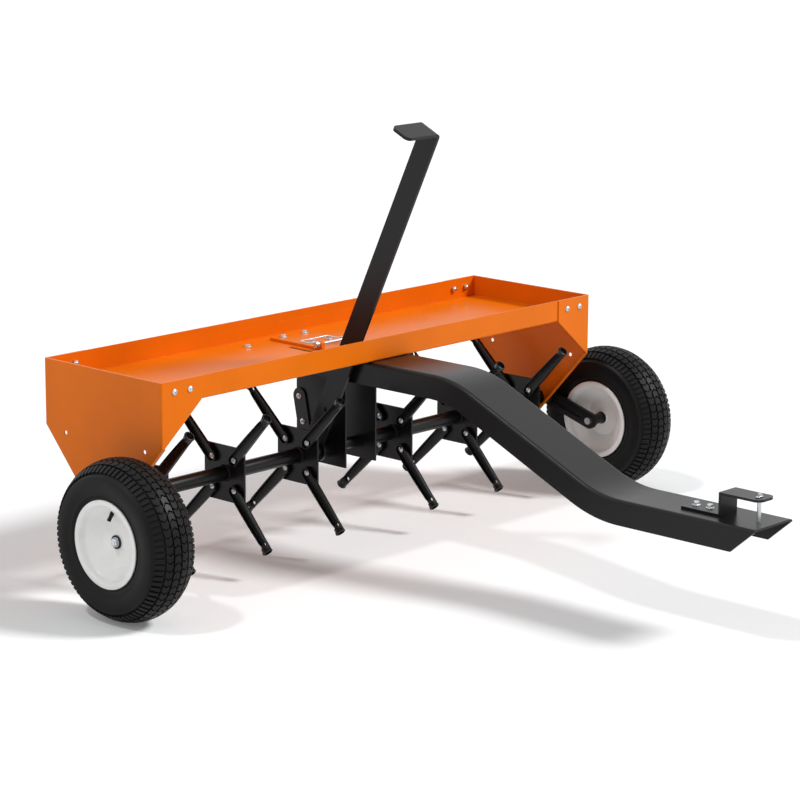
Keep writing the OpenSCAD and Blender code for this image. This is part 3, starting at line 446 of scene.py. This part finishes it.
wheelLook = {"radius": 165.0, "crown": 78.0, "treadDepth": 4.2, "steps": 144}  # mm
treadLook = {  # mm; a block's length and width, and places across the tyre
    "pitches": 60, "block": (14.4, 14.4), "rows": (-25.6, -8.6, 8.6, 25.6), "chevron": 5.2,
    "ribs": 78, "rib": (8.6, 18.5), "ribAcross": 45.0, "ribSink": 0.4, "bevel": 0.7,
    "root": 1.0}
tireSide = [  # radius and distance from the middle, bead to shoulder
    (84.0, 49.5), (90.0, 50.2), (93.0, 50.0), (97.0, 52.2), (99.0, 53.4), (101.0, 53.8),
    (103.0, 53.6), (110.0, 55.6), (120.0, 57.2), (130.0, 57.4), (136.0, 56.2)]
tireInside = [(156.0, 0.0), (152.0, 30.0), (140.0, 45.0), (122.0, 48.5), (104.0, 46.5),
              (92.0, 41.0), (84.0, 40.5)]
rimSide = [  # radius and distance from the middle, a closed outline
    (84.0, 1.0), (84.0, 50.0), (89.5, 50.0), (89.5, 53.0), (88.0, 54.0), (80.0, 54.0),
    (76.5, 51.0), (73.5, 43.0), (70.5, 40.0), (43.0, 22.5), (40.0, 21.0), (12.0, 21.0),
    (12.0, 18.5), (41.0, 18.5), (44.5, 20.0), (72.0, 37.5), (76.0, 41.5), (79.0, 50.0),
    (81.5, 50.0), (81.5, 1.0)]
rimTube = [(14.0, -25.0), (14.0, 22.0), (10.0, 22.0), (10.0, -25.0)]


def cutCorners(points, times, share=0.22):
    # rounds a closed outline by cutting its corners
    for _ in range(times):
        cutLine = []
        for a, b in zip(points, points[1:] + points[:1]):
            a, b = Vector(a), Vector(b)
            cutLine += [a.lerp(b, share), a.lerp(b, 1 - share)]
        points = cutLine
    return [tuple(point) for point in points]


def wheelCenter(side):
    low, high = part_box("tyre_" + side)
    return (low + high) / 2


def treadPoint(center, u, v, h):
    # u runs round the tyre and v across it, in mm on the tread; h is the height over its base
    base = wheelLook["crown"] - wheelLook["treadDepth"]
    turn = u / wheelLook["radius"]
    across = v / base
    r = wheelLook["radius"] - wheelLook["crown"] + (base + h) * math.cos(across)
    return center + Vector(((base + h) * math.sin(across), r * math.sin(turn),
                            r * math.cos(turn))) * mm


def addTreadRow(bm, center, count, block, across, chevron, height, offset=0.0):
    # one block, copied round the tyre and wrapped on its crown
    length, width = block
    pitch = 2 * math.pi * wheelLook["radius"] / count
    row = bmesh.new()
    bmesh.ops.create_grid(row, x_segments=1, y_segments=2, size=0.5)
    for vert in row.verts:
        middle = abs(vert.co.y) < 0.1
        vert.co.x = vert.co.x * length + (chevron if middle else 0.0)
        vert.co.y = vert.co.y * width + across
        vert.co.z = height
    grown = bmesh.ops.extrude_face_region(row, geom=row.faces[:])
    lower = [v for v in grown["geom"] if isinstance(v, bmesh.types.BMVert)]
    bmesh.ops.translate(row, verts=lower, vec=(0, 0, -height - treadLook["root"]))
    cleanSolid(row)
    top = [e for e in row.edges if all(v.co.z > height - 0.01 for v in e.verts)
           and any(abs(f.normal.z) < 0.5 for f in e.link_faces)]
    bmesh.ops.bevel(row, geom=top, offset=treadLook["bevel"], affect="EDGES", segments=1,
                    profile=0.5, material=-1)
    first = row.verts[:] + row.edges[:] + row.faces[:]
    for k in range(1, count):
        copy = bmesh.ops.duplicate(row, geom=first)
        moved = [v for v in copy["geom"] if isinstance(v, bmesh.types.BMVert)]
        bmesh.ops.translate(row, verts=moved, vec=(k * pitch, 0, 0))
    for vert in row.verts:
        vert.co = treadPoint(center, vert.co.x + offset * pitch, vert.co.y, vert.co.z)
    if row.calc_volume(signed=True) < 0:  # wrapping turned the blocks inside out
        bmesh.ops.reverse_faces(row, faces=row.faces)
    joinInto(bm, row)


def buildTire(side):
    # a closed ring from bead to bead, with the tread's blocks on its crown
    center = wheelCenter(side)
    base = wheelLook["crown"] - wheelLook["treadDepth"]
    crownMiddle = wheelLook["radius"] - wheelLook["crown"]
    crownLine = [(crownMiddle + base * math.cos(a), base * math.sin(a))
                 for a in (math.radians(degrees) for degrees in range(46, -1, -4))]
    half = tireSide + crownLine
    outer = half + [(r, -x) for r, x in reversed(half)]
    inner = [(r, -x) for r, x in reversed(tireInside)] + tireInside[1:]
    bm = bmesh.new()
    spinProfile(bm, [(r * mm, x * mm) for r, x in outer + inner], center, wheelLook["steps"])
    cleanSolid(bm)
    look = treadLook
    height = wheelLook["treadDepth"]
    for row, across in enumerate(look["rows"]):
        chevron = look["chevron"] if row % 2 else -look["chevron"]
        addTreadRow(bm, center, look["pitches"], look["block"], across, chevron, height,
                    0.5 * (row % 2))
    for sign in (-1, 1):
        addTreadRow(bm, center, look["ribs"], look["rib"], sign * look["ribAcross"], 0.0,
                    height - look["ribSink"])
    return finishPiece("treadedTyre_" + side, bm, tyreRubber, "wheel_" + side,
                       ("tyre_" + side,), 32)


def buildRim(side):
    # two pressed halves, turned from one profile, and the tube between them
    center = wheelCenter(side)
    bm = bmesh.new()
    outline = cutCorners(rimSide, 3)
    for sign in (-1, 1):
        spinProfile(bm, [(r * mm, sign * x * mm) for r, x in outline], center,
                    wheelLook["steps"])
    outward = -1 if side == "left" else 1
    spinProfile(bm, [(r * mm, outward * x * mm) for r, x in rimTube], center, 48)
    cleanSolid(bm, 1e-6)
    return finishPiece("pressedRim_" + side, bm, whiteEnamel, "wheel_" + side,
                       ("rim_" + side,), 40)


valveLook = {"out": 32.0, "radius": 64.0, "tilt": 56.0, "turn": 2.0, "cap": 13.7,
             "bevel": 0.3}  # mm and degrees
valveProfile = [(0.0, -3.0), (6.4, -3.0), (6.6, 0.0), (5.2, 1.6), (4.5, 4.0), (4.1, 12.0),
                (3.5, 12.4), (3.5, 13.4), (4.1, 13.8), (4.1, 20.0), (3.4, 21.0), (0.0, 21.0)]


def buildValve(side):
    # a rubber stem with a cap, which leans out of the rim
    outward = -1 if side == "left" else 1
    bm = bmesh.new()
    spinProfile(bm, [(r * mm, x * mm) for r, x in valveProfile], Vector((0, 0, 0)), 24, False)
    cap = [e for e in bm.edges if abs(e.calc_face_angle(0.0)) > 0.9
           and all(v.co.x > valveLook["cap"] * mm for v in e.verts)]
    bmesh.ops.bevel(bm, geom=cap, offset=valveLook["bevel"] * mm, affect="EDGES", segments=2,
                    profile=0.5, material=-1)
    place = (Matrix.Translation(wheelCenter(side)) @ Matrix.Scale(outward, 4, (1, 0, 0))
             @ Matrix.Rotation(math.radians(valveLook["turn"]), 4, "X")
             @ Matrix.Translation(Vector((valveLook["out"], 0, valveLook["radius"])) * mm)
             @ Matrix.Rotation(math.radians(valveLook["tilt"]), 4, "Y"))
    bmesh.ops.transform(bm, verts=bm.verts, matrix=place)
    cleanSolid(bm, 1e-6)
    return finishPiece("valve_" + side, bm, valveRubber, "wheel_" + side,
                       ("valve_stem_" + side,))


axleNutLook = {  # mm; radius and distance from the seat
    "washer": [(5.0, 0.0), (9.7, 0.0), (10.0, 0.3), (10.0, 1.2), (9.7, 1.5), (5.0, 1.5)],
    "collar": [(5.0, 6.0), (7.2, 6.0), (7.2, 7.0), (6.4, 7.5), (5.0, 7.5)],
    "nutRadius": 9.2, "nutHeight": 4.9, "nutMiddle": 3.95, "bevel": 0.8, "turn": 0.3}


def buildAxleNut(side):
    # washer, hexagon nut with a chamfer and a nylon-ring collar
    look = axleNutLook
    low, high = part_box("axle_nut_" + side)
    outward = -1 if side == "left" else 1
    middle = (low + high) / 2
    face = high.x if side == "left" else low.x
    bm = bmesh.new()
    start = Vector((face, middle.y, middle.z))
    for profile in (look["washer"], look["collar"]):
        spinProfile(bm, [(r * mm, outward * x * mm) for r, x in profile], start, 32)
    nutMiddle = start + Vector((outward * look["nutMiddle"] * mm, 0, 0))
    addPrism(bm, 6, look["nutRadius"], look["nutHeight"], Matrix.Translation(nutMiddle)
             @ Matrix.Rotation(math.pi / 2, 4, "Y") @ Matrix.Rotation(look["turn"], 4, "Z"),
             0, look["bevel"])
    cleanSolid(bm, 1e-6)
    return finishPiece("axleNut_" + side, bm, zincPlate, "lift",
                       ("axle_nut_" + side,))


for side in ("left", "right"):
    buildTire(side)
    buildRim(side)
    buildValve(side)
    buildAxleNut(side)
print("stage: wheels")


def wirePiece(name, points, radius, material, body, replaced):
    # a round wire along the points
    curve = bpy.data.curves.new(name, "CURVE")
    curve.dimensions = "3D"
    curve.bevel_depth = radius
    curve.bevel_resolution = 4
    curve.use_fill_caps = True
    spline = curve.splines.new("POLY")
    spline.points.add(len(points) - 1)
    for point, place in zip(spline.points, points):
        point.co = (*place, 1.0)
    holder = bpy.data.objects.new(name + "Path", curve)
    bpy.context.scene.collection.objects.link(holder)
    bpy.context.view_layer.update()
    mesh = bpy.data.meshes.new_from_object(holder.evaluated_get(
        bpy.context.evaluated_depsgraph_get()))
    bm = bmesh.new()
    bm.from_mesh(mesh)
    bpy.data.objects.remove(holder)
    bpy.data.curves.remove(curve)
    bpy.data.meshes.remove(mesh)
    cleanSolid(bm, 1e-7)
    return finishPiece(name, bm, material, body, replaced, 60)


wireLook = {  # mm; the wire, its two coils on the pin, and its legs beyond the pin's middle
    "radius": 1.6, "pinRadius": 3.2, "gap": 0.15, "coilLength": 10.0, "turns": 2, "perTurn": 20,
    "corner": 5.0, "legs": (6.0, 12.0, 20.0), "legDrop": 1.0, "legRise": 1.6}


def buildLockWire():
    # one wire: a coil on the pin at each end and a square bail between them
    low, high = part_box("lock_wire")
    pinLow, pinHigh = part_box("lock_pin")
    middle = (pinLow + pinHigh) / 2
    look = wireLook
    ring = look["pinRadius"] + look["radius"] + look["gap"]
    pitch = (look["coilLength"] - 2 * look["radius"]) / look["turns"]
    back = high.y / mm - look["radius"]
    y0, z0 = middle.y / mm, middle.z / mm

    def coil(first, stepSign):
        # from the free end of a coil to the top, where the leg leaves it
        total = look["turns"] * look["perTurn"]
        return [(first + stepSign * pitch * k / look["perTurn"],
                 y0 + ring * math.sin(2 * math.pi * (k - total) / look["perTurn"]),
                 z0 + ring * math.cos(2 * math.pi * (k - total) / look["perTurn"]))
                for k in range(total + 1)]

    leftCoil = coil(low.x / mm + look["coilLength"] - look["radius"], -1)
    rightCoil = coil(high.x / mm - look["coilLength"] + look["radius"], 1)
    xLeft, xRight = leftCoil[-1][0], rightCoil[-1][0]
    near, middleLeg, far = look["legs"]
    corner = look["corner"]
    legLeft = [(xLeft, y0 + near, z0 + ring - look["legDrop"]),
               (xLeft, y0 + middleLeg, z0 + look["legRise"]), (xLeft, y0 + far, z0),
               (xLeft, back - corner, z0)]
    turnLeft = [(xLeft + corner * (1 - math.cos(a)), back - corner + corner * math.sin(a), z0)
                for a in (math.radians(15 * k) for k in range(1, 7))]
    # the right half mirrors the left one, and is followed from the bail to its coil
    turnRight, legRight = ([(xRight - (x - xLeft), y, z) for x, y, z in reversed(line)]
                           for line in (turnLeft, legLeft))
    path = leftCoil + legLeft + turnLeft + turnRight + legRight + rightCoil[::-1]
    return wirePiece("lockBail", [Vector(point) * mm for point in path], look["radius"] * mm,
                     zincPlate, "lock_wire", ("lock_wire",))


hairpinLook = {  # mm; the straight leg's two ends, and the bowed leg as (x, gap to its line)
    "lead": 9.0, "tail": 10.0, "pinRadius": 4.0, "gap": 0.1,
    "bow": ((-6.5, 0.7), (-4.0, 0.3), (0.0, 0.0), (3.0, 0.2))}


def buildHairpin():
    # clip with one leg through the pin and one leg bowed round it
    look = hairpinLook
    low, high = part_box("hitch_pin_clip")
    pinLow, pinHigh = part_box("hitch_pin")
    x0, y0 = (pinLow.x + pinHigh.x) / 2 / mm, (pinLow.y + pinHigh.y) / 2 / mm
    z0 = (low.z + high.z) / 2 / mm
    radius = (high.z - low.z) / 2 / mm
    lead, tail = look["lead"], look["tail"]
    leg = -(look["pinRadius"] + radius + look["gap"])
    points = [(x0 + lead - (lead + tail) * k / 10, y0, z0) for k in range(11)]
    points += [(x0 - tail + leg / 2 * math.sin(a), y0 + leg / 2 * (1 - math.cos(a)), z0)
               for a in (math.radians(15 * k) for k in range(1, 13))]
    points += [(x0 + x, y0 + leg + gap, z0) for x, gap in look["bow"]]
    return wirePiece("hairpin", [Vector(point) * mm for point in points], radius * mm, zincPlate,
                     "hitch_pin", ("hitch_pin_clip",))


buildLockWire()
buildHairpin()
print("stage: wire")

tineLook = {  # mm; a pressed steel trough with a round cutting mouth
    "reach": 202.0, "rootRadius": 13.0, "wall": 2.6, "mouth": 13.0, "hole": 4.4,
    "fullness": 0.6}
mouthProfile = [(7.1, 0.0), (9.3, 0.0), (9.6, 5.0), (11.2, 8.6), (11.8, 11.4), (9.8, 13.0),
                (8.4, 13.0)]
# distance out from the bolt (negative: in from the tip), half width, corner depth, wall depth
tineStations = [
    (0.0, 13.0, 4.0, 9.0), (14.0, 12.9, 4.5, 9.6), (40.0, 12.3, 5.2, 10.4),
    (80.0, 11.3, 6.0, 11.2), (-28.5, 9.7, 7.2, 10.6), (-24.8, 9.6, 7.2, 9.2),
    (-21.0, 9.6, 7.3, 8.8), (-17.2, 9.6, 7.3, 9.2), (-12.0, 9.5, 7.6, 12.6),
    (-7.0, 9.4, 7.8, 13.6)]
holeRow, sectionMiddle = 5, 6  # the hole's row among the stations after the bolt's


def tineSection(halfWidth, corner, depth, first=-5):
    # across a trough: flat back, rounded corners, upright walls; (x, y) in mm
    back = halfWidth - tineLook["rootRadius"]
    full = tineLook["fullness"]
    line = []
    for i in range(first, 6):
        angle = math.radians(18 * i)
        y = math.copysign(abs(math.sin(angle)) ** full, angle) if i else 0.0
        line.append((back - corner * (1 - abs(math.cos(angle)) ** full), y * halfWidth))
    if first < 0:
        line.insert(0, (back - depth, -halfWidth))
    return line + [(back - depth, halfWidth)]


def makeTine(boltRadius):
    # one tine along +Z from the shaft, with its back at x = 0 and its open side towards -X
    look = tineLook
    part = bmesh.new()
    root = tineStations[0]
    verts = [part.verts.new((x * mm, y * mm, boltRadius * mm))
             for x, y in tineSection(root[1], root[2], root[3], 0)]
    edges = [part.edges.new(pair) for pair in zip(verts, verts[1:])]
    bmesh.ops.spin(part, geom=verts + edges, cent=(0, 0, boltRadius * mm), axis=(1, 0, 0),
                   angle=-math.pi, steps=14)
    bmesh.ops.remove_doubles(part, verts=part.verts, dist=1e-6)
    last = [e for e in part.edges if e.is_boundary
            and all(abs(v.co.z - boltRadius * mm) < 1e-7 for v in e.verts)]
    rows = []
    for out, halfWidth, corner, depth in tineStations[1:]:
        z = boltRadius + out if out > 0 else look["reach"] + out
        row = [part.verts.new((x * mm, y * mm, z * mm))
               for x, y in tineSection(halfWidth, corner, depth)]
        chain = [part.edges.new(pair) for pair in zip(row, row[1:])]
        bmesh.ops.bridge_loops(part, edges=last + chain)
        last = chain
        rows.append(row)
    # a hole near the mouth lets the soil core out
    middle = rows[holeRow][sectionMiddle]
    center = middle.co.copy()
    ring = [rows[holeRow + step][sectionMiddle + side] for step in (-1, 0, 1)
            for side in (-1, 0, 1) if step or side]
    bmesh.ops.delete(part, geom=[middle], context="VERTS")
    for vert in ring:
        aim = Vector((0, vert.co.y - center.y, vert.co.z - center.z)).normalized()
        vert.co.y, vert.co.z = (center + aim * look["hole"] * mm).yz
    bmesh.ops.recalc_face_normals(part, faces=part.faces)
    floor = min(part.faces, key=lambda f: (f.calc_center_median()
                                           - Vector((0, 0, boltRadius * mm))).length)
    if floor.normal.x > 0:
        bmesh.ops.reverse_faces(part, faces=part.faces)
    bmesh.ops.solidify(part, geom=part.faces[:], thickness=-look["wall"] * mm)
    bmesh.ops.recalc_face_normals(part, faces=part.faces)
    # the mouth: a short sharpened ring, flared
    start = len(part.verts)
    spinProfile(part, [(r * mm, x * mm) for r, x in mouthProfile], Vector((0, 0, 0)), 28)
    part.verts.ensure_lookup_table()
    turned = Matrix.Translation(Vector((-look["rootRadius"], 0,
                                        look["reach"] - look["mouth"])) * mm)
    bmesh.ops.transform(part, verts=part.verts[start:],
                        matrix=turned @ Matrix.Rotation(-math.pi / 2, 4, "Y"))
    cleanSolid(part, 1e-6)
    mesh = bpy.data.meshes.new("tine")
    part.to_mesh(mesh)
    part.free()
    return mesh


def buildTines():
    # four tines on each plate, at right angles
    plateLow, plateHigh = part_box("tine_plate_1")
    boltBoxes = islandBoxes("tine_bolts_left")
    hub = (plateLow + plateHigh) / 2
    first = (boltBoxes[0][0] + boltBoxes[0][1]) / 2
    tine = makeTine(math.hypot(first.y - hub.y, first.z - hub.z) / mm)
    for number in range(1, 7):
        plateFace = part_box(f"tine_plate_{number}")[0].x
        bm = bmesh.new()
        for quarter in range(4):
            start = len(bm.verts)
            bm.from_mesh(tine)
            bm.verts.ensure_lookup_table()
            place = (Matrix.Translation((plateFace, hub.y, hub.z))
                     @ Matrix.Rotation(math.radians(45 + 90 * quarter), 4, "X"))
            bmesh.ops.transform(bm, verts=bm.verts[start:], matrix=place)
        side = "left" if number < 4 else "right"
        finishPiece(f"coringTines_{number}", bm, blackPaint, "gang_" + side,
                    (f"tines_{number}",), 40)
    bpy.data.meshes.remove(tine)


buildTines()
print("stage: tines")

weldLook = {"bead": 2.3, "ripple": 0.175, "ripplePitch": 2.4, "perRipple": 4, "sides": 8,
            "armSeat": 8.0, "armRadius": 18.2, "hubRadius": 19.2}  # mm


def addWeldRing(bm, center, radius):
    # a ring of weld round a tube along X, with the ripples of a hand-laid bead
    look = weldLook
    ripples = int(2 * math.pi * radius / look["ripplePitch"])
    start = len(bm.verts)
    circle = [(radius + look["bead"] * math.sin(a), look["bead"] * math.cos(a))
              for a in (2 * math.pi * k / look["sides"] for k in range(look["sides"]))]
    spinProfile(bm, [(r * mm, x * mm) for r, x in circle], center,
                ripples * look["perRipple"])
    bm.verts.ensure_lookup_table()
    for vert in bm.verts[start:]:
        out = vert.co - center
        turn = math.atan2(out.y, out.z)
        spine = center + Vector((0, math.sin(turn), math.cos(turn))) * radius * mm
        wave = math.cos(turn * ripples)
        vert.co = spine + (vert.co - spine) * (1 + look["ripple"] * wave)


def buildGangWelds(side, plates):
    # a bead on both faces of each plate, round the gang's tube
    tubeLow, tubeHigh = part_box("gang_tube_" + side)
    middle = (tubeLow + tubeHigh) / 2
    radius = (tubeHigh.z - tubeLow.z) / 2 / mm
    bm = bmesh.new()
    for number in plates:
        low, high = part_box(f"tine_plate_{number}")
        for x in (low.x, high.x):
            addWeldRing(bm, Vector((x, middle.y, middle.z)), radius)
    cleanSolid(bm, 1e-6)
    finishPiece("gangWelds_" + side, bm, blackPaint, "gang_" + side)


buildGangWelds("left", (1, 2, 3))
buildGangWelds("right", (4, 5, 6))


def buildLiftWelds():
    # the bosses of the wheel arms and the hub of the handle are welded on
    shaftLow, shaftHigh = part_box("lift_shaft")
    middle = (shaftLow + shaftHigh) / 2
    bm = bmesh.new()
    armLeft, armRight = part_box("wheel_arm_left")[0].x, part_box("wheel_arm_right")[1].x
    for x in (armLeft + weldLook["armSeat"] * mm, armRight - weldLook["armSeat"] * mm):
        addWeldRing(bm, Vector((x, middle.y, middle.z)), weldLook["armRadius"])
    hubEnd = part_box("handle_hub")[0].x
    addWeldRing(bm, Vector((hubEnd, middle.y, middle.z)), weldLook["hubRadius"])
    cleanSolid(bm, 1e-6)
    finishPiece("liftWelds", bm, blackPaint, "lift")


buildLiftWelds()
print("stage: welds")

stageLook = {"size": 60.0, "color": "#F9FAFB", "glow": 0.11, "sky": "#FFFFFF", "light": 0.26}


def seenDirectly(owner):
    # 1 for rays from the camera, off shiny surfaces and through clear ones, otherwise 0
    rays = addNode(owner, "ShaderNodeLightPath")
    total = rays.outputs["Is Camera Ray"]
    for kind in ("Is Glossy Ray", "Is Transmission Ray"):
        total = addNode(owner, "ShaderNodeMath", {0: total, 1: rays.outputs[kind]},
                        operation="ADD", use_clamp=True).outputs["Value"]
    return total


floorMaterial = startMaterial("studioFloor")
floorShader = addNode(floorMaterial, "ShaderNodeBsdfPrincipled", {
    "Base Color": linearColor(stageLook["color"]), "Roughness": 0.9, "Specular IOR Level": 0.1})
glow = addNode(floorMaterial, "ShaderNodeMath", {
    0: seenDirectly(floorMaterial), 1: stageLook["glow"]}, operation="MULTIPLY")
paper = addNode(floorMaterial, "ShaderNodeEmission", {"Strength": glow.outputs["Value"]})
floorSum = addNode(floorMaterial, "ShaderNodeAddShader", {
    0: floorShader.outputs[0], 1: paper.outputs[0]})
finishMaterial(floorMaterial, floorSum)
floorMesh = bpy.data.meshes.new("studioFloor")
bm = bmesh.new()
bmesh.ops.create_grid(bm, x_segments=1, y_segments=1, size=stageLook["size"] / 2)
bm.to_mesh(floorMesh)
bm.free()
floor = bpy.data.objects.new("studioFloor", floorMesh)
floorMesh.materials.append(floorMaterial)
bpy.context.scene.collection.objects.link(floor)

world = bpy.data.worlds.new("studio")
bpy.context.scene.world = world
world.use_nodes = True
background = world.node_tree.nodes["Background"]
background.inputs["Color"].default_value = linearColor(stageLook["sky"])
brightness = addNode(world, "ShaderNodeMapRange", {
    "Value": seenDirectly(world), "To Min": stageLook["light"], "To Max": 1.0})
world.node_tree.links.new(brightness.outputs["Result"], background.inputs["Strength"])

lampLook = {  # sun lamps: strength, softness in degrees, rotation in degrees
    "keyLamp": (2.5, 14, (48, 0, 38)),
    "rimLamp": (0.6, 4, (28, 0, -102)),
    "fillLamp": (0.32, 60, (55, 0, -95)),
}
for name, (strength, softness, turn) in lampLook.items():
    lamp = bpy.data.lights.new(name, "SUN")
    lamp.energy = strength
    lamp.angle = math.radians(softness)
    lampObject = bpy.data.objects.new(name, lamp)
    lampObject.rotation_euler = [math.radians(a) for a in turn]
    bpy.context.scene.collection.objects.link(lampObject)

cameraLook = {"lens": 130.1, "place": (-4.39057, -3.79658, 1.69568),
              "turn": (77.187, -0.310, -46.935)}
camera = bpy.data.cameras.new("camera")
camera.lens = cameraLook["lens"]
camera.sensor_width = 36.0
cameraObject = bpy.data.objects.new("camera", camera)
cameraObject.location = cameraLook["place"]
cameraObject.rotation_euler = [math.radians(a) for a in cameraLook["turn"]]
bpy.context.scene.collection.objects.link(cameraObject)
bpy.context.scene.camera = cameraObject
bpy.context.scene.view_settings.view_transform = "Standard"
print("stage: floor, light and camera")
